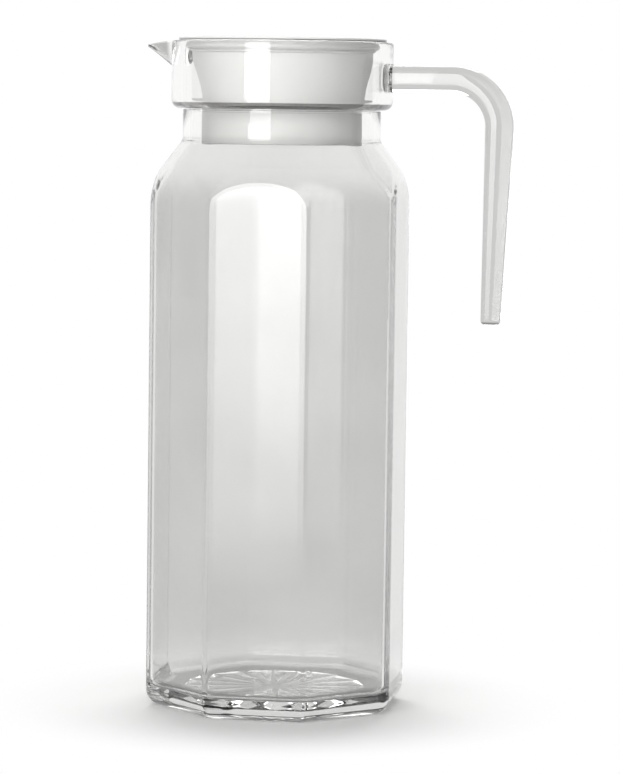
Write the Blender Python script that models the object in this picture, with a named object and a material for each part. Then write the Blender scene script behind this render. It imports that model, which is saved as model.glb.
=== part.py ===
"""Clear acrylic water jug with a lift-out lid that turns to open or close its spout.

Metres, +Z up. The origin is the centre of the jug's underside, +X points to the handle and -X to the spout.
The pieces are the faceted vessel, the collar bonded on its neck, the handle bonded in the collar,
and the lid: a grip cap, a pour sleeve with two windows, and a silicone seal between sleeve and collar.
"""

import math

import bmesh
import bpy
from mathutils import Matrix, Vector

MM = 0.001

# Fits: bonded faces, faces that rest on each other, and faces that slide past each other
BOND_GAP = 0.3 * MM
SEAT_GAP = 0.3 * MM
RUNNING_GAP = 0.3 * MM

# Vessel
FACETS = 8
ACROSS_FLATS = 97 * MM
FACET_EDGE_RADIUS = 3.6 * MM
FOOT_RADIUS = 7 * MM
WALL = 3 * MM
INNER_EDGE_RADIUS = 6 * MM
BASE_THICKNESS = 8 * MM
FLOOR_RADIUS = 4 * MM
NECK_BASE_HEIGHT = 223.4 * MM
NECK_HEIGHT = 11.7 * MM
NECK_RADIUS = 38.9 * MM
NECK_BORE_RADIUS = 35.6 * MM
NECK_FILLET = 3 * MM
SHOULDER_ANGLE = math.radians(37)
SHOULDER_BLEND = 30 * MM
SHOULDER_WALL = 3.2 * MM

# Star cut under the base: it leaves a flat middle, and flat lands between its points
STAR_POINTS = 16
STAR_INNER_RADIUS = 7 * MM
STAR_CREST_RADIUS = 29 * MM
STAR_OUTER_RADIUS = 35 * MM
STAR_DEPTH = 1.8 * MM
STAR_LAND = 0.6 * MM

# Collar
COLLAR_RADIUS = 43.5 * MM
COLLAR_BORE_RADIUS = 38.5 * MM
COLLAR_HEIGHT = 26.5 * MM
COLLAR_FLOOR = 2.4 * MM
COLLAR_HOLE_RADIUS = 32.3 * MM
COLLAR_LIP = 1.6 * MM
COLLAR_FOOT_RADIUS = 3.5 * MM
RIM_ROUND = 1.1 * MM

# Spout: depths are below the rim, at the middle of the collar's wall
SPOUT_REACH = 10.1 * MM
SPOUT_DROOP = 1.6 * MM
SPOUT_ROOT_DROP = 0.25 * MM
SPOUT_DEPTH = 12.6 * MM
SPOUT_HALF_WIDTH = 14 * MM
SPOUT_TIP_HALF_WIDTH = 2.2 * MM
SPOUT_LIP = 0.9 * MM
SPOUT_WALL = 2.2 * MM
SPOUT_LIP_CHANNEL = 0.3 * MM
SPOUT_FULLNESS = 1.5

# Handle
HANDLE_SIDE = 10.4 * MM
HANDLE_EDGE_RADIUS = 3.2 * MM
HANDLE_CENTRE_BELOW_RIM = 13.9 * MM
HANDLE_REACH = 86 * MM
HANDLE_BEND_RADIUS = 18.7 * MM
HANDLE_BEND_SIDE = 11 * MM
HANDLE_LEAN = math.radians(1.8)
HANDLE_END_BELOW_RIM = 109.4 * MM
HANDLE_END_SIDE = 7.6 * MM
HANDLE_END_ROUND = 1.8 * MM
TENON_DEPTH = 2 * MM

# Lid: how far it stands turned from the spout, as in the photo
LID_TURN = math.radians(11.5)

# Lid cap
FLANGE_RADIUS = 40.7 * MM
FLANGE_THICKNESS = 0.9 * MM
FLANGE_ROUND = 0.4 * MM
CAP_WALL = 1.8 * MM
CAP_LEAD_IN = 0.8 * MM
GRIP_DEPTH = 8.9 * MM
GRIP_FILLET = 1.6 * MM
GRIP_BAR_FOOT = 8 * MM
GRIP_BAR_TOP = 6 * MM
GRIP_BAR_ROUND = 1.5 * MM
GRIP_BAR_BELOW_FLANGE = 0.5 * MM

# Pour sleeve
SLEEVE_RADIUS = 35.5 * MM
SLEEVE_WALL = 1.8 * MM
SLEEVE_STEP = 1.2 * MM
PLUG_RADIUS = 31.5 * MM
PLUG_WALL = 1.6 * MM
PLUG_DROP = 17.1 * MM
PLUG_LEAD_IN = 0.6 * MM
WINDOW_SILL = 0.3 * MM
WINDOW_HALF_WIDTH = 18.8 * MM
WINDOW_HEIGHT = 17.2 * MM
WINDOW_FULLNESS = 1.7

# Lid seal, and the bead on the sleeve that keeps it up
SEAL_HEIGHT = 3.6 * MM
SEAL_LIPS = 2
SEAL_LIP_DEPTH = 0.6 * MM
BEAD_HEIGHT = 1.1 * MM
BEAD_DEPTH = 1.1 * MM

# How finely round shapes are stepped, and how far a cut runs past what it cuts
TURN_STEPS = 48
ARC_STEP = math.radians(30)
ARC_STEPS = 3
FOOT_STEPS = 5
BLEND_STEPS = 6
SPOUT_STEPS = 12
SPOUT_SECTIONS = 4
WINDOW_STEPS = 16
BEND_STEPS = 10
DROP_STEPS = 5
LIP_STEPS = 6
SHARP_ANGLE = math.radians(32)
OVERRUN = 6 * MM
MERGE_DISTANCE = 0.001 * MM

# Heights that follow from the sizes above
NECK_TOP = NECK_BASE_HEIGHT + NECK_HEIGHT
COLLAR_BOTTOM = NECK_TOP + BOND_GAP
LEDGE = COLLAR_BOTTOM + COLLAR_FLOOR
RIM = COLLAR_BOTTOM + COLLAR_HEIGHT
FLANGE_BOTTOM = RIM + SEAT_GAP
FLANGE_TOP = FLANGE_BOTTOM + FLANGE_THICKNESS
GRIP_FLOOR = FLANGE_TOP - GRIP_DEPTH
SLEEVE_TOP = FLANGE_BOTTOM - BOND_GAP
SLEEVE_BOTTOM = LEDGE + SEAT_GAP
STEP_TOP = SLEEVE_BOTTOM + SLEEVE_STEP
PLUG_BOTTOM = SLEEVE_BOTTOM - PLUG_DROP
SEAL_TOP = FLANGE_BOTTOM - SEAT_GAP
SEAL_BOTTOM = SEAL_TOP - SEAL_HEIGHT
BEAD_TOP = SEAL_BOTTOM - SEAT_GAP
HANDLE_HEIGHT = RIM - HANDLE_CENTRE_BELOW_RIM

# Plan sizes that follow
APOTHEM = ACROSS_FLATS / 2
HALF_FACET = math.pi / FACETS
CORNER_RADIUS = APOTHEM / math.cos(HALF_FACET)
INNER_APOTHEM = APOTHEM - WALL
INNER_CORNER_RADIUS = INNER_APOTHEM / math.cos(HALF_FACET)
COLLAR_LIP_RADIUS = NECK_BORE_RADIUS - BOND_GAP
COLLAR_MIDDLE_RADIUS = (COLLAR_RADIUS + COLLAR_BORE_RADIUS) / 2
SLEEVE_BORE_RADIUS = SLEEVE_RADIUS - SLEEVE_WALL
CAP_RADIUS = SLEEVE_BORE_RADIUS - BOND_GAP
GRIP_RADIUS = CAP_RADIUS - CAP_WALL
TENON_END = COLLAR_RADIUS - TENON_DEPTH


# Outlines in a plane


def arc(centre, radius, start, end, steps=ARC_STEPS):
    """Points of an arc from the angle start to the angle end, in radians."""
    angles = [start + (end - start) * i / steps for i in range(steps + 1)]
    return [(centre[0] + radius * math.cos(a), centre[1] + radius * math.sin(a)) for a in angles]


def filleted(corners):
    """Closed outline through (x, y, radius) corners, each rounded by an arc where its radius isn't 0."""
    found = []
    for i, (x, y, radius) in enumerate(corners):
        if radius == 0:
            found.append((x, y))
            continue
        here = Vector((x, y))
        back = (Vector(corners[i - 1][:2]) - here).normalized()
        ahead = (Vector(corners[(i + 1) % len(corners)][:2]) - here).normalized()
        half = back.angle(ahead) / 2
        centre = here + (back + ahead).normalized() * radius / math.sin(half)
        first = here + back * radius / math.tan(half) - centre
        last = here + ahead * radius / math.tan(half) - centre
        start = math.atan2(first.y, first.x)
        turn = math.remainder(math.atan2(last.y, last.x) - start, math.tau)
        steps = max(1, math.ceil(abs(turn) / ARC_STEP - 0.01))
        found += arc(centre, radius, start, start + turn, steps)
    return found


def regular_polygon(sides, apothem, edge_radius):
    """Outline of a regular polygon with a flat side across +X and rounded corners."""
    reach = apothem / math.cos(math.pi / sides)
    angles = [math.pi * (2 * i + 1) / sides for i in range(sides)]
    return filleted([(reach * math.cos(a), reach * math.sin(a), edge_radius) for a in angles])


def full_arch(angle, fullness):
    """Point of an arch one unit high and two wide: fullness 1 gives a gable, 2 a half circle."""
    across = math.copysign(abs(math.cos(angle)) ** (2 / fullness), math.cos(angle))
    return across, abs(math.sin(angle)) ** (2 / fullness)


def shoulder_profile(neck_radius, neck_base, side_radius, blend):
    """Profile from the neck's fillet down a cone and round into an upright side, top to bottom."""
    cone_foot = neck_base - (side_radius - neck_radius) / math.tan(SHOULDER_ANGLE)
    neck_tangent = NECK_FILLET * math.tan(SHOULDER_ANGLE / 2)
    side_tangent = blend * math.tan(SHOULDER_ANGLE / 2)
    fillet_centre = (neck_radius + NECK_FILLET, neck_base + neck_tangent)
    blend_centre = (side_radius - blend, cone_foot - side_tangent)
    profile = arc(fillet_centre, NECK_FILLET, math.pi, math.pi + SHOULDER_ANGLE)
    profile += arc(blend_centre, blend, SHOULDER_ANGLE, 0, BLEND_STEPS)
    return profile


# Solids


def lofted(rings):
    """Closed solid through rings of equally many points, with flat ends."""
    shape = bmesh.new()
    loops = [[shape.verts.new(point) for point in ring] for ring in rings]
    for lower, upper in zip(loops, loops[1:]):
        for i in range(len(lower)):
            shape.faces.new((lower[i - 1], lower[i], upper[i], upper[i - 1]))
    shape.faces.new(reversed(loops[0]))
    shape.faces.new(loops[-1])
    return shape


def turned(profile):
    """Solid turned about Z from a closed outline of (radius, height) points."""
    shape = bmesh.new()
    verts = [shape.verts.new((radius, 0, height)) for radius, height in profile]
    sides = [(verts[i - 1], verts[i]) for i in range(len(verts))]
    edges = [shape.edges.new(side) for side in sides if side[0].co.x > 0 or side[1].co.x > 0]
    bmesh.ops.spin(
        shape,
        geom=verts + edges,
        cent=(0, 0, 0),
        axis=(0, 0, 1),
        angle=math.tau,
        steps=TURN_STEPS,
        use_merge=True,
    )
    bmesh.ops.remove_doubles(shape, verts=shape.verts, dist=MERGE_DISTANCE)
    return shape


def bar_along_x(outline, start, end):
    """Solid with an outline of (y, z) points, from start to end along X."""
    return lofted([[(x, y, z) for y, z in outline] for x in (start, end)])


def add_object(name, shape, finish=None):
    """Makes an object from a bmesh, with faces pointing out and curved stretches shaded smooth."""
    bmesh.ops.recalc_face_normals(shape, faces=shape.faces)
    mesh = bpy.data.meshes.new(name)
    shape.to_mesh(mesh)
    shape.free()
    mesh.shade_smooth()
    mesh.set_sharp_from_angle(angle=SHARP_ANGLE)
    if finish:
        mesh.materials.append(finish)
    made = bpy.data.objects.new(name, mesh)
    bpy.context.scene.collection.objects.link(made)
    return made


def add_tool(name, shape):
    """A guide solid for Booleans, which isn't a piece of the jug."""
    made = add_object(name, shape)
    made.hide_render = True
    made.display_type = "WIRE"
    return made


def combine(target, operation, tool):
    """Adds a Boolean of target with tool."""
    step = target.modifiers.new(tool.name, "BOOLEAN")
    step.operation = operation
    step.solver = "EXACT"
    step.object = tool


# Finishes


def finish(name, colour, roughness, transmission=0.0, ior=1.5):
    """Principled finish; none of the jug's pieces is metal."""
    made = bpy.data.materials.new(name)
    made.use_nodes = True
    shader = made.node_tree.nodes["Principled BSDF"]
    shader.inputs["Base Color"].default_value = (*colour, 1)
    shader.inputs["Roughness"].default_value = roughness
    shader.inputs["Metallic"].default_value = 0.0
    shader.inputs["Transmission Weight"].default_value = transmission
    shader.inputs["IOR"].default_value = ior
    return made


def clear_acrylic(piece):
    return finish(f"{piece}_clear_acrylic", (0.93, 0.94, 0.94), 0.03, transmission=1.0, ior=1.49)


def white_plastic(piece):
    return finish(f"{piece}_white_plastic", (0.86, 0.86, 0.85), 0.32)


def silicone(piece):
    return finish(f"{piece}_silicone", (0.72, 0.73, 0.73), 0.5, ior=1.41)


# Vessel


def faceted_prism(apothem, edge_radius, bottom, foot_radius, top):
    """Upright faceted prism whose bottom edge is rounded."""
    levels = arc((foot_radius, bottom + foot_radius), foot_radius, 1.5 * math.pi, math.pi, FOOT_STEPS)
    levels.append((0, top))
    rings = []
    for inset, height in levels:
        edge = edge_radius * (apothem - inset) / apothem
        rings.append([(x, y, height) for x, y in regular_polygon(FACETS, apothem - inset, edge)])
    return lofted(rings)


def vessel_turning():
    """Neck and shoulder as a turned solid, which trims the faceted prism."""
    profile = [(0, NECK_TOP), (NECK_RADIUS, NECK_TOP)]
    profile += shoulder_profile(NECK_RADIUS, NECK_BASE_HEIGHT, CORNER_RADIUS, SHOULDER_BLEND)
    profile += [(CORNER_RADIUS, -OVERRUN), (0, -OVERRUN)]
    return turned(profile)


def cavity_turning():
    """Neck bore and the inside of the shoulder, one shoulder wall inside the outer cone."""
    drop = SHOULDER_WALL / math.sin(SHOULDER_ANGLE)
    rise = (NECK_RADIUS - NECK_BORE_RADIUS) / math.tan(SHOULDER_ANGLE)
    cone_top = NECK_BASE_HEIGHT - drop + rise
    blend = SHOULDER_BLEND - SHOULDER_WALL
    profile = [(0, NECK_TOP + OVERRUN), (NECK_BORE_RADIUS, NECK_TOP + OVERRUN)]
    profile += shoulder_profile(NECK_BORE_RADIUS, cone_top, INNER_CORNER_RADIUS, blend)
    profile += [(INNER_CORNER_RADIUS, BASE_THICKNESS - OVERRUN), (0, BASE_THICKNESS - OVERRUN)]
    return turned(profile)


def star_cut():
    """Ring of V cuts: each deepens outwards to its crest and ends in a short steep face."""
    shape = bmesh.new()
    half = math.pi / STAR_POINTS - STAR_LAND / STAR_OUTER_RADIUS / 2
    for i in range(STAR_POINTS):
        middle = math.tau * i / STAR_POINTS
        points = (
            (STAR_INNER_RADIUS, middle, 0),
            (STAR_OUTER_RADIUS, middle - half, 0),
            (STAR_OUTER_RADIUS, middle + half, 0),
            (STAR_CREST_RADIUS, middle, STAR_DEPTH),
        )
        inner, left, right, crest = (
            shape.verts.new((radius * math.cos(angle), radius * math.sin(angle), height))
            for radius, angle, height in points
        )
        for face in ((inner, left, crest), (left, right, crest), (right, inner, crest), (inner, right, left)):
            shape.faces.new(face)
    return shape


def build_vessel():
    top = NECK_TOP + OVERRUN
    outside = faceted_prism(APOTHEM, FACET_EDGE_RADIUS, 0, FOOT_RADIUS, top)
    inside = faceted_prism(INNER_APOTHEM, INNER_EDGE_RADIUS, BASE_THICKNESS, FLOOR_RADIUS, top)
    vessel = add_object("vessel", outside, clear_acrylic("vessel"))
    cavity = add_tool("vessel_cavity", inside)
    combine(cavity, "INTERSECT", add_tool("cavity_turning", cavity_turning()))
    combine(vessel, "INTERSECT", add_tool("vessel_turning", vessel_turning()))
    combine(vessel, "DIFFERENCE", cavity)
    combine(vessel, "DIFFERENCE", add_tool("base_star", star_cut()))


# Collar


def collar_ring():
    """Ring whose floor lies on the neck's top, with a lip under it that drops into the neck's bore."""
    lip_bottom = COLLAR_BOTTOM - COLLAR_LIP
    return turned(
        filleted(
            [
                (COLLAR_HOLE_RADIUS, lip_bottom, 0),
                (COLLAR_LIP_RADIUS, lip_bottom, 0),
                (COLLAR_LIP_RADIUS, COLLAR_BOTTOM, 0),
                (COLLAR_RADIUS, COLLAR_BOTTOM, COLLAR_FOOT_RADIUS),
                (COLLAR_RADIUS, RIM, RIM_ROUND),
                (COLLAR_BORE_RADIUS, RIM, RIM_ROUND),
                (COLLAR_BORE_RADIUS, LEDGE, 0),
                (COLLAR_HOLE_RADIUS, LEDGE, 0),
            ]
        )
    )


def spout_solid(root_radius, root_half_width, root_depth, tip_half_width, tip_depth, cover):
    """Loft from a small keeled section at the spout's tip to a large one that lies on a cylinder.

    A section hangs down from the spout's edge, and rises above it by cover.
    """
    rings = []
    tip = COLLAR_RADIUS + SPOUT_REACH
    for i in range(SPOUT_SECTIONS + 1):
        share = i / SPOUT_SECTIONS
        edge = RIM - SPOUT_ROOT_DROP - SPOUT_DROOP * (1 - share) ** 2
        half_width = tip_half_width + (root_half_width - tip_half_width) * share
        depth = tip_depth + (root_depth - tip_depth) * share
        ring = []
        for j in range(SPOUT_STEPS + 1):
            across, down = full_arch(math.pi * j / SPOUT_STEPS, SPOUT_FULLNESS)
            root = math.sqrt(root_radius**2 - (root_half_width * across) ** 2)
            ring.append((-(tip + (root - tip) * share), half_width * across, edge - depth * down))
        ring.append((ring[-1][0], ring[-1][1], edge + cover))
        ring.append((ring[0][0], ring[0][1], edge + cover))
        rings.append(ring)
    return lofted(rings)


def build_collar():
    collar = add_object("collar", collar_ring(), clear_acrylic("collar"))
    beak = spout_solid(
        COLLAR_MIDDLE_RADIUS,
        SPOUT_HALF_WIDTH,
        SPOUT_DEPTH,
        SPOUT_TIP_HALF_WIDTH,
        SPOUT_LIP,
        SPOUT_ROOT_DROP / 2,
    )
    channel = spout_solid(
        COLLAR_BORE_RADIUS - RIM_ROUND,
        SPOUT_HALF_WIDTH - SPOUT_WALL,
        SPOUT_DEPTH - SPOUT_WALL,
        SPOUT_TIP_HALF_WIDTH,
        SPOUT_LIP_CHANNEL,
        OVERRUN,
    )
    mortise = bar_along_x(handle_section(BOND_GAP), TENON_END - BOND_GAP, COLLAR_RADIUS + OVERRUN)
    combine(collar, "UNION", add_tool("spout_beak", beak))
    combine(collar, "DIFFERENCE", add_tool("spout_channel", channel))
    combine(collar, "DIFFERENCE", add_tool("handle_mortise", mortise))


# Handle


def handle_section(clearance):
    """Rounded square across the handle's root, as (y, z) points."""
    outline = regular_polygon(4, HANDLE_SIDE / 2 + clearance, HANDLE_EDGE_RADIUS + clearance)
    return [(y, HANDLE_HEIGHT + z) for y, z in outline]


def handle_path():
    """(x, z, direction, side) along the handle: out from the collar, round the bend, down to its end."""
    bend_x = HANDLE_REACH - HANDLE_BEND_RADIUS
    bend_z = HANDLE_HEIGHT - HANDLE_BEND_RADIUS
    path = [(TENON_END, HANDLE_HEIGHT, 0, HANDLE_SIDE)]
    for i in range(BEND_STEPS + 1):
        direction = -(math.pi / 2 + HANDLE_LEAN) * i / BEND_STEPS
        x = bend_x - HANDLE_BEND_RADIUS * math.sin(direction)
        z = bend_z + HANDLE_BEND_RADIUS * math.cos(direction)
        side = HANDLE_SIDE + (HANDLE_BEND_SIDE - HANDLE_SIDE) * i / BEND_STEPS
        path.append((x, z, direction, side))
    x, z, direction, side = path[-1]
    length = (z - (RIM - HANDLE_END_BELOW_RIM)) / math.cos(HANDLE_LEAN)
    for i in range(1, DROP_STEPS + 1):
        share = i / DROP_STEPS
        along = (length - HANDLE_END_ROUND) * share
        side = HANDLE_BEND_SIDE + (HANDLE_END_SIDE - HANDLE_BEND_SIDE) * share
        path.append((x + along * math.cos(direction), z + along * math.sin(direction), direction, side))
    end_centre = (HANDLE_END_ROUND, length - HANDLE_END_ROUND)
    for inset, along in arc(end_centre, HANDLE_END_ROUND, math.pi, math.pi / 2)[1:]:
        side = HANDLE_END_SIDE - 2 * inset
        path.append((x + along * math.cos(direction), z + along * math.sin(direction), direction, side))
    return path


def build_handle():
    outline = regular_polygon(4, HANDLE_SIDE / 2, HANDLE_EDGE_RADIUS)
    rings = []
    for x, z, direction, side in handle_path():
        scale = side / HANDLE_SIDE
        ring = []
        for across, up in outline:
            lift = up * scale
            ring.append((x - lift * math.sin(direction), across * scale, z + lift * math.cos(direction)))
        rings.append(ring)
    add_object("handle", lofted(rings), clear_acrylic("handle"))


# Lid


def turned_with_lid(shape):
    """Turns a shape that points to the spout by as much as the lid stands turned."""
    bmesh.ops.rotate(shape, cent=(0, 0, 0), matrix=Matrix.Rotation(LID_TURN, 3, "Z"), verts=shape.verts)
    return shape


def cap_turning():
    """Flange with a round grip recess in it, whose wall plugs into the sleeve."""
    bottom = GRIP_FLOOR - CAP_WALL
    return turned(
        filleted(
            [
                (0, GRIP_FLOOR, 0),
                (GRIP_RADIUS, GRIP_FLOOR, GRIP_FILLET),
                (GRIP_RADIUS, FLANGE_TOP, FLANGE_ROUND),
                (FLANGE_RADIUS, FLANGE_TOP, FLANGE_ROUND),
                (FLANGE_RADIUS, FLANGE_BOTTOM, FLANGE_ROUND),
                (CAP_RADIUS, FLANGE_BOTTOM, 0),
                (CAP_RADIUS, bottom, CAP_LEAD_IN),
                (0, bottom, 0),
            ],
        )
    )


def grip_bar():
    """Bar across the recess, from the spout's side to the handle's, to pinch and turn the lid by."""
    foot = GRIP_FLOOR - CAP_WALL / 2
    top = FLANGE_TOP - GRIP_BAR_BELOW_FLANGE
    outline = filleted(
        [
            (-GRIP_BAR_FOOT / 2, foot, 0),
            (GRIP_BAR_FOOT / 2, foot, 0),
            (GRIP_BAR_TOP / 2, top, GRIP_BAR_ROUND),
            (-GRIP_BAR_TOP / 2, top, GRIP_BAR_ROUND),
        ]
    )
    end = GRIP_RADIUS + CAP_WALL / 2
    return turned_with_lid(bar_along_x(outline, -end, end))


def sleeve_turning():
    """Sleeve that stands in the collar, with a step on the ledge and a narrower plug down the neck."""
    bead = SLEEVE_RADIUS + BEAD_DEPTH
    plug_bore = PLUG_RADIUS - PLUG_WALL
    return turned(
        filleted(
            [
                (SLEEVE_BORE_RADIUS, SLEEVE_TOP, 0),
                (SLEEVE_RADIUS, SLEEVE_TOP, 0),
                (SLEEVE_RADIUS, BEAD_TOP, 0),
                (bead, BEAD_TOP, 0),
                (bead, BEAD_TOP - BEAD_HEIGHT / 2, 0),
                (SLEEVE_RADIUS, BEAD_TOP - BEAD_HEIGHT, 0),
                (SLEEVE_RADIUS, SLEEVE_BOTTOM, 0),
                (PLUG_RADIUS, SLEEVE_BOTTOM, 0),
                (PLUG_RADIUS, PLUG_BOTTOM, PLUG_LEAD_IN),
                (plug_bore, PLUG_BOTTOM, 0),
                (plug_bore, STEP_TOP, 0),
                (SLEEVE_BORE_RADIUS, STEP_TOP, 0),
            ]
        )
    )


def pour_windows():
    """Arch cut right through the sleeve, towards the spout and towards the handle."""
    sill = STEP_TOP + WINDOW_SILL
    outline = []
    for i in range(WINDOW_STEPS + 1):
        across, up = full_arch(math.pi * i / WINDOW_STEPS, WINDOW_FULLNESS)
        outline.append((WINDOW_HALF_WIDTH * across, sill + WINDOW_HEIGHT * up))
    end = SLEEVE_RADIUS + OVERRUN
    return turned_with_lid(bar_along_x(outline, -end, end))


def seal_turning():
    """Ring with rounded lips on its outer side."""
    bore = SLEEVE_RADIUS + RUNNING_GAP
    lip = COLLAR_BORE_RADIUS - RUNNING_GAP
    profile = [(bore, SEAL_TOP), (bore, SEAL_BOTTOM)]
    count = SEAL_LIPS * LIP_STEPS
    for i in range(count + 1):
        wave = (1 + math.cos(math.tau * SEAL_LIPS * i / count)) / 2
        profile.append((lip - SEAL_LIP_DEPTH * wave, SEAL_BOTTOM + SEAL_HEIGHT * i / count))
    return turned(profile)


def build_lid():
    cap = add_object("lid_cap", cap_turning(), white_plastic("lid_cap"))
    sleeve = add_object("pour_sleeve", sleeve_turning(), white_plastic("pour_sleeve"))
    seal = add_object("lid_seal", seal_turning(), silicone("lid_seal"))
    combine(cap, "UNION", add_tool("grip_bar", grip_bar()))
    combine(sleeve, "DIFFERENCE", add_tool("pour_windows", pour_windows()))
    axis = bpy.data.objects.new("lid_axis", None)
    axis.location = (0, 0, RIM)
    bpy.context.scene.collection.objects.link(axis)
    for piece in (cap, sleeve, seal):
        piece.parent = axis
        piece.matrix_parent_inverse = Matrix.Translation((0, 0, -RIM))


def main():
    for thing in list(bpy.data.objects):
        bpy.data.objects.remove(thing)
    build_vessel()
    build_collar()
    build_handle()
    build_lid()


main()
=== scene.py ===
"""Looks of the clear acrylic water jug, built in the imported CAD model's own frame.

Metres, +Z up, +X towards the handle, -X towards the spout. Each piece replaces the CAD node of its name.
"""

import math

import bmesh
import bpy
from mathutils import Matrix, Vector


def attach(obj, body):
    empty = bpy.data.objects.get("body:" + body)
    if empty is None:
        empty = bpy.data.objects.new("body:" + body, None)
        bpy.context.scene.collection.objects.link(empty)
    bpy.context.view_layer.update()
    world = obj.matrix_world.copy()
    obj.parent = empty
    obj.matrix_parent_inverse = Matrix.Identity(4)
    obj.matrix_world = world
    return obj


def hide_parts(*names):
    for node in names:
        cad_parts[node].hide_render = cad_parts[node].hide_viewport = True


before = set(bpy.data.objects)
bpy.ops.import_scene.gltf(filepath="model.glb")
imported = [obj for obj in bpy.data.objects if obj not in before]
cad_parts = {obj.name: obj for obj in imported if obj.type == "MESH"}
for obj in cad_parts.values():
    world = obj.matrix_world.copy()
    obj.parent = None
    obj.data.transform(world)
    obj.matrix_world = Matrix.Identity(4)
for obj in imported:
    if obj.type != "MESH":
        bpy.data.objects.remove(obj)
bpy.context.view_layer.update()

MM = 0.001

# Fits between the pieces
BOND_GAP = 0.3 * MM
SEAT_GAP = 0.3 * MM
RUNNING_GAP = 0.3 * MM

# Vessel
FACETS = 8
ACROSS_FLATS = 97 * MM
EDGE_SOFTNESS = 1.8 * MM
INNER_EDGE_SOFTNESS = 3 * MM
ARCH_SOFTNESS = 3.2 * MM
ARCH_FOOT_SOFTNESS = 0.6 * MM
FOOT_RADIUS = 7 * MM
WALL = 3 * MM
BASE_THICKNESS = 8 * MM
FLOOR_RADIUS = 4 * MM
FLOOR_MIDDLE = 20 * MM
NECK_BASE_HEIGHT = 223.4 * MM
NECK_HEIGHT = 11.7 * MM
NECK_RADIUS = 38.9 * MM
NECK_BORE_RADIUS = 35.6 * MM
NECK_FILLET = 3 * MM
NECK_EDGE_ROUND = 0.4 * MM
SHOULDER_ANGLE = math.radians(37)
SHOULDER_BLEND = 30 * MM
SHOULDER_WALL = 3.2 * MM

# Star cut under the base
STAR_POINTS = 16
STAR_INNER_RADIUS = 7 * MM
STAR_CREST_RADIUS = 29 * MM
STAR_OUTER_RADIUS = 35 * MM
STAR_DEPTH = 1.8 * MM
STAR_LAND = 0.6 * MM
STAR_RIM_RADIUS = 36.5 * MM

# Collar
COLLAR_RADIUS = 43.5 * MM
COLLAR_BORE_RADIUS = 38.5 * MM
COLLAR_HEIGHT = 26.5 * MM
COLLAR_FLOOR = 2.4 * MM
COLLAR_HOLE_RADIUS = 32.3 * MM
COLLAR_LIP = 1.6 * MM
COLLAR_FOOT_RADIUS = 3.5 * MM
RIM_ROUND = 1.1 * MM

# Spout
SPOUT_REACH = 10.1 * MM
SPOUT_DROOP = 1.6 * MM
SPOUT_ROOT_DROP = 0.25 * MM
SPOUT_DEPTH = 12.6 * MM
SPOUT_HALF_WIDTH = 14 * MM
SPOUT_TIP_HALF_WIDTH = 2.2 * MM
SPOUT_LIP = 0.9 * MM
SPOUT_WALL = 2.2 * MM
SPOUT_LIP_CHANNEL = 0.3 * MM
SPOUT_FULLNESS = 1.5

# Handle
HANDLE_SIDE = 10.4 * MM
HANDLE_EDGE_RADIUS = 3.2 * MM
HANDLE_CENTRE_BELOW_RIM = 13.9 * MM
HANDLE_REACH = 86 * MM
HANDLE_BEND_RADIUS = 18.7 * MM
HANDLE_BEND_SIDE = 11 * MM
HANDLE_LEAN = math.radians(1.8)
HANDLE_END_BELOW_RIM = 109.4 * MM
HANDLE_END_SIDE = 7.6 * MM
HANDLE_END_ROUND = 1.8 * MM
TENON_DEPTH = 2 * MM

# Lid: how far it stands turned from the spout, then its cap
LID_TURN = math.radians(11.5)
FLANGE_RADIUS = 40.7 * MM
FLANGE_THICKNESS = 0.9 * MM
FLANGE_ROUND = 0.4 * MM
CAP_WALL = 1.8 * MM
CAP_LEAD_IN = 0.8 * MM
GRIP_DEPTH = 8.9 * MM
GRIP_FILLET = 1.6 * MM
GRIP_BAR_FOOT = 8 * MM
GRIP_BAR_TOP = 6 * MM
GRIP_BAR_ROUND = 1.5 * MM
GRIP_BAR_BELOW_FLANGE = 0.5 * MM

# Pour sleeve
SLEEVE_RADIUS = 35.5 * MM
SLEEVE_WALL = 1.8 * MM
SLEEVE_STEP = 1.2 * MM
SLEEVE_EDGE_ROUND = 0.3 * MM
PLUG_RADIUS = 31.5 * MM
PLUG_WALL = 1.6 * MM
PLUG_DROP = 17.1 * MM
PLUG_LEAD_IN = 0.6 * MM
WINDOW_SILL = 0.3 * MM
WINDOW_HALF_WIDTH = 18.8 * MM
WINDOW_HEIGHT = 17.2 * MM
WINDOW_FULLNESS = 1.7

# Lid seal, and the bead on the sleeve that keeps it up
SEAL_HEIGHT = 3.6 * MM
SEAL_LIPS = 2
SEAL_LIP_DEPTH = 0.6 * MM
BEAD_HEIGHT = 1.1 * MM
BEAD_DEPTH = 1.1 * MM

# How finely shapes are stepped, and how far a cut runs past what it cuts
TURN_STEPS = 192
FACET_COLUMNS = 40
ROUND_STEP = math.radians(9)
STEP_TOLERANCE = 0.01
BLEND_STEPS = 48
FILLET_STEPS = 8
NECK_EDGE_STEPS = 3
SIDE_ROWS = 8
SPOUT_STEPS = 40
SPOUT_SECTIONS = 20
WINDOW_STEPS = 64
BEND_STEPS = 60
DROP_STEPS = 40
LIP_STEPS = 16
SHARP_ANGLE = math.radians(30)
OVERRUN = 6 * MM
MERGE_DISTANCE = 0.001 * MM

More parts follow.
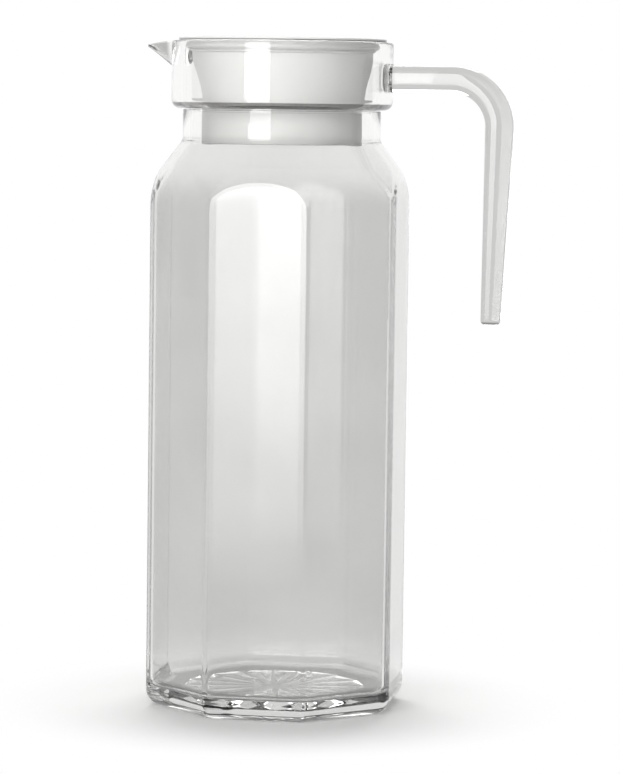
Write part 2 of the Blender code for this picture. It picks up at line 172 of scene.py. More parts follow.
# Heights that follow from the sizes above
NECK_TOP = NECK_BASE_HEIGHT + NECK_HEIGHT
COLLAR_BOTTOM = NECK_TOP + BOND_GAP
LEDGE = COLLAR_BOTTOM + COLLAR_FLOOR
RIM = COLLAR_BOTTOM + COLLAR_HEIGHT
FLANGE_BOTTOM = RIM + SEAT_GAP
FLANGE_TOP = FLANGE_BOTTOM + FLANGE_THICKNESS
GRIP_FLOOR = FLANGE_TOP - GRIP_DEPTH
SLEEVE_TOP = FLANGE_BOTTOM - BOND_GAP
SLEEVE_BOTTOM = LEDGE + SEAT_GAP
STEP_TOP = SLEEVE_BOTTOM + SLEEVE_STEP
PLUG_BOTTOM = SLEEVE_BOTTOM - PLUG_DROP
SEAL_TOP = FLANGE_BOTTOM - SEAT_GAP
SEAL_BOTTOM = SEAL_TOP - SEAL_HEIGHT
BEAD_TOP = SEAL_BOTTOM - SEAT_GAP
HANDLE_HEIGHT = RIM - HANDLE_CENTRE_BELOW_RIM
HANDLE_END = RIM - HANDLE_END_BELOW_RIM

# Plan sizes that follow
APOTHEM = ACROSS_FLATS / 2
HALF_FACET = math.pi / FACETS
CORNER_RADIUS = APOTHEM / math.cos(HALF_FACET)
INNER_APOTHEM = APOTHEM - WALL
INNER_CORNER_RADIUS = INNER_APOTHEM / math.cos(HALF_FACET)
FAR_RADIUS = 2 * CORNER_RADIUS
COLLAR_LIP_RADIUS = NECK_BORE_RADIUS - BOND_GAP
COLLAR_MIDDLE_RADIUS = (COLLAR_RADIUS + COLLAR_BORE_RADIUS) / 2
SLEEVE_BORE_RADIUS = SLEEVE_RADIUS - SLEEVE_WALL
CAP_RADIUS = SLEEVE_BORE_RADIUS - BOND_GAP
GRIP_RADIUS = CAP_RADIUS - CAP_WALL
TENON_END = COLLAR_RADIUS - TENON_DEPTH

# The photograph's camera: the image it fills, and where it stood
IMAGE_WIDTH = 620
IMAGE_HEIGHT = 774
FOCAL_PIXELS = 3400
AXIS_COLUMN = 278.6
HORIZON_ROW = 105
CAMERA_AZIMUTH = math.radians(9.8)
CAMERA_DISTANCE = 1.34
CAMERA_HEIGHT = 0.2373
CAMERA_ROLL = math.radians(0.75)
SENSOR = 36.0

# Axes by number, and the factors that take the height out of a place
X_AXIS = 0
Z_AXIS = 2
IN_PLAN = (1, 1, 0)

# A Mix node's two colours and its result, by number
MIX_FIRST = 6
MIX_SECOND = 7
MIX_RESULT = 2

# Clear acrylic: shades of its walls, and zones where one goes over to another: axis, start, end and shade.
# The zones paint light, paler at the base, the shoulder and the neck, and paint shade, darker in the spout
WALL_SHADE = "DDDDDC"
PALE_SHADE = "F2F2F1"
COLLAR_SHADE = "FDFDFC"
CLEAREST_SHADE = "FEFEFE"
HANDLE_SHADE = "C8C8C7"
SPOUT_PAINTED_SHADE = "D6D6D5"
SPOUT_PAINTED_SHADE_FADE = 1.5 * MM
BASE_PAINTED_LIGHT_ZONE = (Z_AXIS, 26 * MM, 8 * MM, PALE_SHADE)
SHOULDER_PAINTED_LIGHT_ZONE = (Z_AXIS, 196 * MM, 216 * MM, PALE_SHADE)
NECK_PAINTED_LIGHT_ZONE = (Z_AXIS, 222 * MM, 226 * MM, COLLAR_SHADE)
SPOUT_PAINTED_SHADE_ZONE = (X_AXIS, -COLLAR_RADIUS, -COLLAR_RADIUS - SPOUT_PAINTED_SHADE_FADE, SPOUT_PAINTED_SHADE)

# Painted shade in it, in sharp dark bands: at the bonded foot of the collar, from a least radius on, and at
# the cut end of the handle
PAINTED_FOOT_SHADE = "5A5958"
HANDLE_END_PAINTED_SHADE = "5E5E5E"
BAND_MARGIN = 0.1 * MM
HANDLE_END_PAINTED_BAND_HEIGHT = 1.2 * MM
PAINTED_FOOT_SHADE_RADIUS = COLLAR_RADIUS - COLLAR_FOOT_RADIUS - BAND_MARGIN
PAINTED_FOOT_SHADE_BAND = (COLLAR_BOTTOM - BAND_MARGIN, LEDGE, PAINTED_FOOT_SHADE_RADIUS, PAINTED_FOOT_SHADE)
HANDLE_END_PAINTED_BAND = (HANDLE_END - BAND_MARGIN, HANDLE_END + HANDLE_END_PAINTED_BAND_HEIGHT, 0, HANDLE_END_PAINTED_SHADE)

# Its flow waves, its smears, and what it takes from light on the way through
FLOW_SIZE = 38 * MM
FLOW_DETAIL = 1.0
FLOW_BUMP = 0.25
FLOW_DEPTH = 0.12 * MM
FLOW_SHARE = 0.25
SMEAR_SIZE = 9 * MM
SMEAR_DETAIL = 4.0
SMEAR_LOW = 0.45
SMEAR_HIGH = 0.8
SMEAR_ROUGHNESS = 0.012
ACRYLIC_IOR = 1.49
DEPTH_SHADE = "8B8B8A"
DEPTH_DENSITY = 4.0

# White polypropylene. Its grain is drawn coarser than the real one, which is too fine to show
PLASTIC_SHADES = ("F8F8F7", "FBFBFA")
PLASTIC_ROUGHNESS = (0.34, 0.46)
PLASTIC_IOR = 1.49
CLOUD_SIZE = 14 * MM
CLOUD_DETAIL = 3.0
GRAIN_SIZE = 0.6 * MM
GRAIN_DETAIL = 2.0
GRAIN_BUMP = 0.15
GRAIN_DEPTH = 0.05 * MM

# Clear silicone. Its frosting is drawn coarser than the real one, which is too fine to show
SILICONE_SHADES = ("FAFAF9", "FDFDFC")
SILICONE_ROUGHNESS = (0.42, 0.58)
SILICONE_IOR = 1.41
SILICONE_CLEARNESS = 0.08
FROST_SIZE = 1.2 * MM
FROST_DETAIL = 3.0

# Values that a noise pattern mostly keeps between
NOISE_LOW = 0.3
NOISE_HIGH = 0.7

# Table top and world
WHITE = "FFFFFF"
TABLE_SHADE = "F4F4F3"
TABLE_RADIUS = 0.42
TABLE_GLOW = 0.2
TABLE_NEAR = 0.05
TABLE_FAR = 0.12
AMBIENT = 0.12
FILL_TOWARDS = (0, -0.97, 0.24)
FILL_RADIANCE = 2.5
FILL_POWER = 6.0
CLEAR_WALL_GAIN = 0.58

# Softboxes
FRONT_AZIMUTH = math.radians(-16.5)
FRONT_DISTANCE = 1.25
FRONT_WIDTH = 0.56
FRONT_LOW = -0.12
FRONT_HIGH = 0.4
FRONT_FADE = 0.74
FRONT_RADIANCE = 5.2
TOP_SIZE = 1.0
TOP_PLACE = (-0.15, 0.75, 1.1)
TOP_FADE = 0.05
TOP_RADIANCE = 2.8
FADE_POWER = 0.8

# An area light's energy for each unit of its radiance and area
ENERGY_FACTOR = 4

# Limits for a ray's bounces: one that parts none from some, and the most that a ray makes
FIRST_BOUNCE = 0.5
CLEAR_BOUNCES = 32


# Nodes and colours


def linear(hex_code):
    """Linear colour of an sRGB hex value."""
    parts = [int(hex_code[i : i + 2], 16) / 255 for i in (0, 2, 4)]
    return (*(p / 12.92 if p <= 0.04045 else ((p + 0.055) / 1.055) ** 2.4 for p in parts), 1.0)


def add(tree, kind, sockets=None, **settings):
    """Adds a node; sockets gives inputs, by name or number, a value or another node's output."""
    made = tree.nodes.new(kind)
    for name, value in settings.items():
        setattr(made, name, value)
    for name, value in (sockets or {}).items():
        if isinstance(value, bpy.types.NodeSocket):
            tree.links.new(value, made.inputs[name])
        else:
            made.inputs[name].default_value = value
    return made


# Materials


def new_material(name):
    """An empty node material and its tree."""
    made = bpy.data.materials.new(name)
    made.use_nodes = True
    made.node_tree.nodes.clear()
    return made, made.node_tree


def clear_acrylic(piece, wall, pale, zones=(), bands=()):
    """Clear acrylic, injection moulded and polished: almost no colour of its own in a thin wall and a soft
    grey where the eye looks along it, a hard bright gloss, slow flow waves in the walls that bend what is
    seen through them, and faint smears from handling.

    Walls wander between two shades, wall and pale. Each of zones, (axis, start, full, shade), goes over to
    another shade along an axis, as painted light where it is paler and painted shade where it is darker, and
    each of bands, (lower, upper, least radius, shade), is painted shade with sharp edges.
    """
    made, tree = new_material("clear_acrylic_moulded_" + piece)
    place = add(tree, "ShaderNodeTexCoord").outputs["Object"]
    along = add(tree, "ShaderNodeSeparateXYZ", {0: place}).outputs
    slow = {"Vector": place, "Scale": 1 / FLOW_SIZE, "Detail": FLOW_DETAIL}
    flow = add(tree, "ShaderNodeTexNoise", slow).outputs["Fac"]
    patchy = {"Vector": place, "Scale": 1 / SMEAR_SIZE, "Detail": SMEAR_DETAIL}
    smear = add(tree, "ShaderNodeTexNoise", patchy).outputs["Fac"]
    wander = {"Value": flow, "From Min": NOISE_LOW, "From Max": NOISE_HIGH, "To Max": FLOW_SHARE}
    layers = [(add(tree, "ShaderNodeMapRange", wander).outputs["Result"], pale)]
    # Zones of painted light, paler, and of painted shade, darker
    for axis, start, full, shade in zones:
        rise = {"Value": along[axis], "From Min": start, "From Max": full}
        share = add(tree, "ShaderNodeMapRange", rise, interpolation_type="SMOOTHSTEP")
        layers.append((share.outputs["Result"], shade))
    # Bands of painted shade
    for lower, upper, least, shade in bands:
        in_plan = add(tree, "ShaderNodeVectorMath", {0: place, 1: IN_PLAN}, operation="MULTIPLY").outputs[0]
        radius = add(tree, "ShaderNodeVectorMath", {0: in_plan}, operation="LENGTH").outputs["Value"]
        middle = (lower + upper) / 2
        reach = {0: along[Z_AXIS], 1: middle, 2: upper - middle}
        level = add(tree, "ShaderNodeMath", reach, operation="COMPARE")
        outside = add(tree, "ShaderNodeMath", {0: radius, 1: least}, operation="GREATER_THAN")
        both = {0: level.outputs[0], 1: outside.outputs[0]}
        layers.append((add(tree, "ShaderNodeMath", both, operation="MULTIPLY").outputs[0], shade))
    tint = linear(wall)
    for share, shade in layers:
        blend = {"Factor": share, MIX_FIRST: tint, MIX_SECOND: linear(shade)}
        tint = add(tree, "ShaderNodeMix", blend, data_type="RGBA").outputs[MIX_RESULT]
    dulled = {"Value": smear, "From Min": SMEAR_LOW, "From Max": SMEAR_HIGH, "To Max": SMEAR_ROUGHNESS}
    gloss = add(tree, "ShaderNodeMapRange", dulled)
    waves = add(tree, "ShaderNodeBump", {"Height": flow, "Strength": FLOW_BUMP, "Distance": FLOW_DEPTH})
    shader = add(
        tree,
        "ShaderNodeBsdfPrincipled",
        {
            "Base Color": tint,
            "Roughness": gloss.outputs["Result"],
            "Normal": waves.outputs["Normal"],
            "IOR": ACRYLIC_IOR,
            "Transmission Weight": 1.0,
        },
    )
    taken = {"Color": linear(DEPTH_SHADE), "Density": DEPTH_DENSITY}
    depth = add(tree, "ShaderNodeVolumeAbsorption", taken)
    ends = {"Surface": shader.outputs["BSDF"], "Volume": depth.outputs["Volume"]}
    add(tree, "ShaderNodeOutputMaterial", ends)
    return made


def shades_and_roughness(tree, pattern, shades, roughness):
    """Colour and roughness that go with a noise pattern from the first value given to the second."""
    tones = {"Factor": pattern, MIX_FIRST: linear(shades[0]), MIX_SECOND: linear(shades[1])}
    tone = add(tree, "ShaderNodeMix", tones, data_type="RGBA").outputs[MIX_RESULT]
    span = {"From Min": NOISE_LOW, "From Max": NOISE_HIGH, "To Min": roughness[0], "To Max": roughness[1]}
    return tone, add(tree, "ShaderNodeMapRange", {"Value": pattern, **span}).outputs["Result"]


def white_polypropylene():
    """White polypropylene, injection moulded with a satin skin: a soft broad sheen over a fine even grain,
    and a tone that wanders a little from place to place."""
    made, tree = new_material("white_polypropylene_moulded")
    place = add(tree, "ShaderNodeTexCoord").outputs["Object"]
    slow = {"Vector": place, "Scale": 1 / CLOUD_SIZE, "Detail": CLOUD_DETAIL}
    cloud = add(tree, "ShaderNodeTexNoise", slow).outputs["Fac"]
    fine = {"Vector": place, "Scale": 1 / GRAIN_SIZE, "Detail": GRAIN_DETAIL}
    grain = add(tree, "ShaderNodeTexNoise", fine).outputs["Fac"]
    tone, sheen = shades_and_roughness(tree, cloud, PLASTIC_SHADES, PLASTIC_ROUGHNESS)
    skin = add(tree, "ShaderNodeBump", {"Height": grain, "Strength": GRAIN_BUMP, "Distance": GRAIN_DEPTH})
    shader = add(
        tree,
        "ShaderNodeBsdfPrincipled",
        {
            "Base Color": tone,
            "Roughness": sheen,
            "Normal": skin.outputs["Normal"],
            "IOR": PLASTIC_IOR,
        },
    )
    add(tree, "ShaderNodeOutputMaterial", {"Surface": shader.outputs["BSDF"]})
    return made


def clear_silicone():
    """Clear silicone, moulded in a matt tool: a milky, frosted body without sharp highlights."""
    made, tree = new_material("clear_silicone_frosted")
    place = add(tree, "ShaderNodeTexCoord").outputs["Object"]
    fine = {"Vector": place, "Scale": 1 / FROST_SIZE, "Detail": FROST_DETAIL}
    frost = add(tree, "ShaderNodeTexNoise", fine).outputs["Fac"]
    milk, matt = shades_and_roughness(tree, frost, SILICONE_SHADES, SILICONE_ROUGHNESS)
    shader = add(
        tree,
        "ShaderNodeBsdfPrincipled",
        {
            "Base Color": milk,
            "Roughness": matt,
            "IOR": SILICONE_IOR,
            "Transmission Weight": SILICONE_CLEARNESS,
        },
    )
    add(tree, "ShaderNodeOutputMaterial", {"Surface": shader.outputs["BSDF"]})
    return made


# Outlines in a plane


def arc(centre, radius, start, end, steps):
    """Points of an arc from the angle start to the angle end, in radians."""
    angles = [start + (end - start) * i / steps for i in range(steps + 1)]
    return [(centre[0] + radius * math.cos(a), centre[1] + radius * math.sin(a)) for a in angles]


def filleted(corners):
    """Closed outline through (x, y, radius) corners, each rounded by an arc where its radius isn't 0."""
    found = []
    for i, (x, y, radius) in enumerate(corners):
        if radius == 0:
            found.append((x, y))
            continue
        here = Vector((x, y))
        back = (Vector(corners[i - 1][:2]) - here).normalized()
        ahead = (Vector(corners[(i + 1) % len(corners)][:2]) - here).normalized()
        half = back.angle(ahead) / 2
        centre = here + (back + ahead).normalized() * radius / math.sin(half)
        first = here + back * radius / math.tan(half) - centre
        last = here + ahead * radius / math.tan(half) - centre
        start = math.atan2(first.y, first.x)
        turn = math.remainder(math.atan2(last.y, last.x) - start, math.tau)
        steps = max(1, math.ceil(abs(turn) / ROUND_STEP - STEP_TOLERANCE))
        found += arc(centre, radius, start, start + turn, steps)
    return found


def rounded_square(side, edge_radius):
    """Outline of a square about its middle, with rounded corners."""
    half = side / 2
    corners = ((half, -half), (half, half), (-half, half), (-half, -half))
    return filleted([(x, y, edge_radius) for x, y in corners])


def full_arch(angle, fullness):
    """Point of an arch one unit high and two wide: fullness 1 gives a gable, 2 a half circle."""
    across = math.copysign(abs(math.cos(angle)) ** (2 / fullness), math.cos(angle))
    return across, abs(math.sin(angle)) ** (2 / fullness)


def shoulder_profile(neck_radius, neck_base, side_radius, blend):
    """Profile from the neck's fillet down a cone and round into an upright side, top to bottom."""
    cone_foot = neck_base - (side_radius - neck_radius) / math.tan(SHOULDER_ANGLE)
    neck_tangent = NECK_FILLET * math.tan(SHOULDER_ANGLE / 2)
    side_tangent = blend * math.tan(SHOULDER_ANGLE / 2)
    fillet_centre = (neck_radius + NECK_FILLET, neck_base + neck_tangent)
    blend_centre = (side_radius - blend, cone_foot - side_tangent)
    profile = arc(fillet_centre, NECK_FILLET, math.pi, math.pi + SHOULDER_ANGLE, FILLET_STEPS)
    profile += arc(blend_centre, blend, SHOULDER_ANGLE, 0, BLEND_STEPS)
    return profile


# Solids


def lofted(rings):
    """Closed solid through rings of equally many points, with flat ends."""
    shape = bmesh.new()
    loops = [[shape.verts.new(point) for point in ring] for ring in rings]
    for lower, upper in zip(loops, loops[1:]):
        for i in range(len(lower)):
            shape.faces.new((lower[i - 1], lower[i], upper[i], upper[i - 1]))
    shape.faces.new(reversed(loops[0]))
    shape.faces.new(loops[-1])
    return shape


def turned(outline):
    """Solid turned about Z from a closed outline of (radius, height) points."""
    shape = bmesh.new()
    rings = []
    for radius, height in outline:
        angles = [math.tau * i / TURN_STEPS for i in range(TURN_STEPS)] if radius else [0]
        rings.append([shape.verts.new((radius * math.cos(a), radius * math.sin(a), height)) for a in angles])
    for before, after in zip(rings, rings[1:] + rings[:1]):
        if len(before) == len(after) == 1:
            continue
        for i in range(TURN_STEPS):
            corners = []
            for ring, order in ((before, (i - 1, i)), (after, (i, i - 1))):
                corners += ring if len(ring) == 1 else [ring[k] for k in order]
            shape.faces.new(corners)
    return shape


def bar_along_x(outline, start, end):
    """Solid with an outline of (y, z) points, from start to end along X."""
    return lofted([[(x, y, z) for y, z in outline] for x in (start, end)])


def turned_with_lid(shape):
    """Turns a shape that points to the spout by as much as the lid stands turned."""
    bmesh.ops.rotate(shape, cent=(0, 0, 0), matrix=Matrix.Rotation(LID_TURN, 3, "Z"), verts=shape.verts)
    return shape


def make_object(name, shape):
    """Object from a bmesh, with faces pointing out."""
    bmesh.ops.recalc_face_normals(shape, faces=shape.faces)
    mesh = bpy.data.meshes.new(name)
    shape.to_mesh(mesh)
    shape.free()
    made = bpy.data.objects.new(name, mesh)
    bpy.context.scene.collection.objects.link(made)
    return made


def applied(thing):
    """Replaces an object by the plain mesh that its modifiers give."""
    bpy.context.view_layer.update()
    result = bpy.data.meshes.new_from_object(thing.evaluated_get(bpy.context.evaluated_depsgraph_get()))
    thing.modifiers.clear()
    thing.data = result
    return thing


def combined(target, steps):
    """Object with (operation, tool) Booleans applied; the tools are deleted."""
    for operation, tool in steps:
        step = target.modifiers.new(tool.name, "BOOLEAN")
        step.operation = operation
        step.solver = "EXACT"
        step.object = tool
    applied(target)
    for operation, tool in steps:
        bpy.data.objects.remove(tool)
    return target


def dress(piece, material):
    """Gives a finished piece its material, smooth where it curves and sharp where it breaks."""
    piece.data.materials.clear()
    piece.data.materials.append(material)
    piece.data.shade_smooth()
    piece.data.set_sharp_from_angle(angle=SHARP_ANGLE)
    return piece


def put_in(piece, node, body):
    """Sets a piece in the frame in place of the CAD node."""
    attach(piece, body)
    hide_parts(node)


# Geometry Nodes


def new_tree(name, inputs):
    """Geometry tree with a geometry input, the named inputs, and a geometry output."""
    tree = bpy.data.node_groups.new(name, "GeometryNodeTree")
    tree.interface.new_socket("Geometry", in_out="INPUT", socket_type="NodeSocketGeometry")
    for label, kind in inputs:
        tree.interface.new_socket(label, in_out="INPUT", socket_type=kind)
    tree.interface.new_socket("Geometry", in_out="OUTPUT", socket_type="NodeSocketGeometry")
    return tree, add(tree, "NodeGroupInput").outputs


def end_tree(tree, geometry, material):
    """Ends a tree in plain geometry with its material."""
    real = add(tree, "GeometryNodeRealizeInstances", {"Geometry": geometry})
    finish = add(tree, "GeometryNodeSetMaterial", {"Geometry": real.outputs[0], "Material": material})
    add(tree, "NodeGroupOutput", {"Geometry": finish.outputs[0]})
    return tree


def run_tree(thing, tree, values):
    """Runs a tree on an object with values for its named inputs, and keeps the plain result."""
    step = thing.modifiers.new(tree.name, "NODES")
    step.node_group = tree
    for item in tree.interface.items_tree:
        if item.in_out == "INPUT" and item.name in values:
            step[item.identifier] = values[item.name]
    return applied(thing)


def facet_press():
    """Presses flats into a turned shape: each point goes in to the nearest flat, whose distance from the
    axis its apothem attribute gives, and edges and arches are softened."""
    tree, given = new_tree(
        "facet_press",
        [
            ("Facets", "NodeSocketInt"),
            ("Arch softness", "NodeSocketFloat"),
            ("Arch foot softness", "NodeSocketFloat"),
            ("Material", "NodeSocketMaterial"),
        ],
    )
    named = {label: given[label] for label in ("Facets", "Arch softness", "Arch foot softness")}
    for label in ("apothem", "edge_softness"):
        stored = add(tree, "GeometryNodeInputNamedAttribute", {"Name": label}, data_type="FLOAT")
        named[label] = stored.outputs[0]
    position = add(tree, "GeometryNodeInputPosition").outputs[0]
    parts = add(tree, "ShaderNodeSeparateXYZ", {0: position}).outputs
    in_plan = add(tree, "ShaderNodeCombineXYZ", {0: parts[0], 1: parts[1]}).outputs[0]
    radius = add(tree, "ShaderNodeVectorMath", {0: in_plan}, operation="LENGTH").outputs["Value"]
    named.update(x=parts[0], y=parts[1], radius=radius)
    # Each step has a name, an operation and what goes into it: numbers, or names of what came before
    steps = (
        ("facet", "DIVIDE", math.tau, "Facets"),
        ("half facet", "DIVIDE", "facet", 2.0),
        ("angle", "ARCTAN2", "y", "x"),
        ("angle from edge", "ADD", "angle", "half facet"),
        ("turn past edge", "FLOORED_MODULO", "angle from edge", "facet"),
        ("off middle", "SUBTRACT", "turn past edge", "half facet"),
        ("out", "ABSOLUTE", "off middle"),
        ("off next middle", "SUBTRACT", "facet", "out"),
        ("cosine here", "COSINE", "off middle"),
        ("cosine next", "COSINE", "off next middle"),
        ("this flat", "DIVIDE", "apothem", "cosine here"),
        ("next flat", "DIVIDE", "apothem", "cosine next"),
        ("flats", "SMOOTH_MIN", "this flat", "next flat", "edge_softness"),
        ("out share", "DIVIDE", "out", "half facet"),
        ("out share squared", "POWER", "out share", 2.0),
        ("middle share", "SUBTRACT", 1.0, "out share squared"),
        ("softness", "MULTIPLY_ADD", "middle share", "Arch softness", "Arch foot softness"),
        ("pressed", "SMOOTH_MIN", "radius", "flats", "softness"),
        ("share", "DIVIDE", "pressed", "radius"),
        ("new x", "MULTIPLY", "x", "share"),
        ("new y", "MULTIPLY", "y", "share"),
    )
    for name, operation, *values in steps:
        sockets = {i: named.get(value, value) for i, value in enumerate(values)}
        named[name] = add(tree, "ShaderNodeMath", sockets, operation=operation).outputs[0]
    place = add(tree, "ShaderNodeCombineXYZ", {0: named["new x"], 1: named["new y"], 2: parts[2]})
    moves = {"Geometry": given["Geometry"], "Position": place.outputs[0]}
    moved = add(tree, "GeometryNodeSetPosition", moves)
    return end_tree(tree, moved.outputs[0], given["Material"])


def repeat_round():
    """Repeats a shape at equal turns about Z."""
    tree, given = new_tree("repeat_round", [("Count", "NodeSocketInt"), ("Material", "NodeSocketMaterial")])
    points = add(tree, "GeometryNodePoints", {"Count": given["Count"]})
    number = add(tree, "GeometryNodeInputIndex")
    step = add(tree, "ShaderNodeMath", {0: math.tau, 1: given["Count"]}, operation="DIVIDE")
    turn = add(tree, "ShaderNodeMath", {0: number.outputs[0], 1: step.outputs[0]}, operation="MULTIPLY")
    about_z = add(tree, "ShaderNodeCombineXYZ", {2: turn.outputs[0]})
    copies = add(
        tree,
        "GeometryNodeInstanceOnPoints",
        {"Points": points.outputs[0], "Instance": given["Geometry"], "Rotation": about_z.outputs[0]},
    )
    return end_tree(tree, copies.outputs[0], given["Material"])


# Vessel


def outer_rows():
    """(radius, height, apothem) rows of the outside, from the base's flat ring up to the neck's top. Rows
    that only the flats bound start far outside them."""
    rows = [(STAR_RIM_RADIUS, 0, APOTHEM)]
    foot = arc((FOOT_RADIUS, FOOT_RADIUS), FOOT_RADIUS, 1.5 * math.pi, math.pi, FILLET_STEPS)
    rows += [(FAR_RADIUS, height, APOTHEM - inset) for inset, height in foot]
    profile = shoulder_profile(NECK_RADIUS, NECK_BASE_HEIGHT, CORNER_RADIUS, SHOULDER_BLEND)[::-1]
    side_top = profile[0][1]
    for i in range(1, SIDE_ROWS):
        rows.append((FAR_RADIUS, FOOT_RADIUS + (side_top - FOOT_RADIUS) * i / SIDE_ROWS, APOTHEM))
    rows += [(radius, height, APOTHEM) for radius, height in profile]
    edge_centre = (NECK_RADIUS - NECK_EDGE_ROUND, NECK_TOP - NECK_EDGE_ROUND)
    edge = arc(edge_centre, NECK_EDGE_ROUND, 0, math.pi / 2, NECK_EDGE_STEPS)
    rows += [(radius, height, APOTHEM) for radius, height in edge]
    return rows


def inner_rows():
    """(radius, height, apothem) rows of the inside, from the neck's bore down to the floor."""
    drop = SHOULDER_WALL / math.sin(SHOULDER_ANGLE)
    rise = (NECK_RADIUS - NECK_BORE_RADIUS) / math.tan(SHOULDER_ANGLE)
    cone_top = NECK_BASE_HEIGHT - drop + rise
    blend = SHOULDER_BLEND - SHOULDER_WALL
    profile = shoulder_profile(NECK_BORE_RADIUS, cone_top, INNER_CORNER_RADIUS, blend)
    rows = [(radius, height, INNER_APOTHEM) for radius, height in profile]
    side_top = profile[-1][1]
    side_foot = BASE_THICKNESS + FLOOR_RADIUS
    for i in range(1, SIDE_ROWS):
        rows.append((FAR_RADIUS, side_top + (side_foot - side_top) * i / SIDE_ROWS, INNER_APOTHEM))
    floor = arc((FLOOR_RADIUS, side_foot), FLOOR_RADIUS, math.pi, 1.5 * math.pi, FILLET_STEPS)
    rows += [(FAR_RADIUS, height, INNER_APOTHEM - inset) for inset, height in floor]
    rows.append((FLOOR_MIDDLE, BASE_THICKNESS, INNER_APOTHEM))
    return rows


def column_angles():
    """Angles round the vessel, closest together at the edges between its flats."""
    angles = []
    for facet in range(FACETS):
        for i in range(FACET_COLUMNS):
            off_middle = HALF_FACET * math.sin(math.pi * (i / FACET_COLUMNS - 0.5))
            angles.append(math.tau * facet / FACETS + off_middle)
    return angles


def vessel_turning():
    """The vessel's skin as rows and columns, still round, open at the ring round the star cut."""
    shape = bmesh.new()
    apothem_of = shape.verts.layers.float.new("apothem")
    softness_of = shape.verts.layers.float.new("edge_softness")
    outside = [(*row, EDGE_SOFTNESS) for row in outer_rows()]
    outside.append((NECK_BORE_RADIUS, NECK_TOP, APOTHEM, EDGE_SOFTNESS))
    rows = outside + [(*row, INNER_EDGE_SOFTNESS) for row in inner_rows()]
    angles = column_angles()
    rings = []
    for radius, height, apothem, softness in rows:
        ring = [shape.verts.new((radius * math.cos(a), radius * math.sin(a), height)) for a in angles]
        for vert in ring:
            vert[apothem_of] = apothem
            vert[softness_of] = softness
        rings.append(ring)
    for before, after in zip(rings, rings[1:]):
        for i in range(len(angles)):
            shape.faces.new((before[i - 1], before[i], after[i], after[i - 1]))
    shape.faces.new(rings[-1])
    return shape


def star_notch():
    """One V cut of the star: it deepens outwards to its crest and ends in a short steep face."""
    shape = bmesh.new()
    half = math.pi / STAR_POINTS - STAR_LAND / STAR_OUTER_RADIUS / 2
    points = (
        (STAR_INNER_RADIUS, 0, 0),
        (STAR_OUTER_RADIUS, -half, 0),
        (STAR_OUTER_RADIUS, half, 0),
        (STAR_CREST_RADIUS, 0, STAR_DEPTH),
    )
    inner, left, right, crest = (
        shape.verts.new((radius * math.cos(angle), radius * math.sin(angle), height))
        for radius, angle, height in points
    )
    for face in ((inner, left, crest), (left, right, crest), (right, inner, crest)):
        shape.faces.new(face)
    return shape


def shade_star_flat(skin):
    """Shades the cuts of the star, and the flat between them, without smoothing."""
    under = STAR_DEPTH + MERGE_DISTANCE
    reach = STAR_RIM_RADIUS + MERGE_DISTANCE
    points = skin.data.vertices
    for face in skin.data.polygons:
        corners = [points[i].co for i in face.vertices]
        if all(co.z < under and co.xy.length < reach for co in corners):
            face.use_smooth = False


def build_vessel(acrylic):
    """Vessel: flats pressed into a turned skin, with the star cut let into its base."""
    skin = make_object("vessel", vessel_turning())
    softness = {"Arch softness": ARCH_SOFTNESS, "Arch foot softness": ARCH_FOOT_SOFTNESS}
    run_tree(skin, facet_press(), {"Facets": FACETS, "Material": acrylic, **softness})
    star = make_object("star_notches", star_notch())
    run_tree(star, repeat_round(), {"Count": STAR_POINTS, "Material": acrylic})
    shape = bmesh.new()
    shape.from_mesh(skin.data)
    shape.from_mesh(star.data)
    bpy.data.objects.remove(star)
    open_edges = [edge for edge in shape.edges if edge.is_boundary]
    bmesh.ops.triangle_fill(shape, use_beauty=True, edges=open_edges, normal=(0, 0, -1))
    bmesh.ops.recalc_face_normals(shape, faces=shape.faces)
    shape.to_mesh(skin.data)
    shape.free()
    shade_star_flat(dress(skin, acrylic))
    put_in(skin, "vessel", "jug")


# Collar


def collar_ring():
    """Ring whose floor lies on the neck's top, with a lip under it that drops into the neck's bore."""
    lip_bottom = COLLAR_BOTTOM - COLLAR_LIP
    return turned(
        filleted(
            [
                (COLLAR_HOLE_RADIUS, lip_bottom, 0),
                (COLLAR_LIP_RADIUS, lip_bottom, 0),
                (COLLAR_LIP_RADIUS, COLLAR_BOTTOM, 0),
                (COLLAR_RADIUS, COLLAR_BOTTOM, COLLAR_FOOT_RADIUS),
                (COLLAR_RADIUS, RIM, RIM_ROUND),
                (COLLAR_BORE_RADIUS, RIM, RIM_ROUND),
                (COLLAR_BORE_RADIUS, LEDGE, 0),
                (COLLAR_HOLE_RADIUS, LEDGE, 0),
            ]
        )
    )


def spout_solid(root_radius, root_half_width, root_depth, tip_half_width, tip_depth, cover):
    """Loft from a small keeled section at the spout's tip to a large one that lies on a cylinder.

    A section hangs down from the spout's edge, and rises above it by cover.
    """
    rings = []
    tip = COLLAR_RADIUS + SPOUT_REACH
    for i in range(SPOUT_SECTIONS + 1):
        share = i / SPOUT_SECTIONS
        edge = RIM - SPOUT_ROOT_DROP - SPOUT_DROOP * (1 - share) ** 2
        half_width = tip_half_width + (root_half_width - tip_half_width) * share
        depth = tip_depth + (root_depth - tip_depth) * share
        ring = []
        for j in range(SPOUT_STEPS + 1):
            across, down = full_arch(math.pi * j / SPOUT_STEPS, SPOUT_FULLNESS)
            root = math.sqrt(root_radius**2 - (root_half_width * across) ** 2)
            ring.append((-(tip + (root - tip) * share), half_width * across, edge - depth * down))
        ring.append((ring[-1][0], ring[-1][1], edge + cover))
        ring.append((ring[0][0], ring[0][1], edge + cover))
        rings.append(ring)
    return lofted(rings)


def handle_section(clearance):
    """Rounded square across the handle's root, as (y, z) points."""
    outline = rounded_square(HANDLE_SIDE + 2 * clearance, HANDLE_EDGE_RADIUS + clearance)
    return [(y, HANDLE_HEIGHT + z) for y, z in outline]


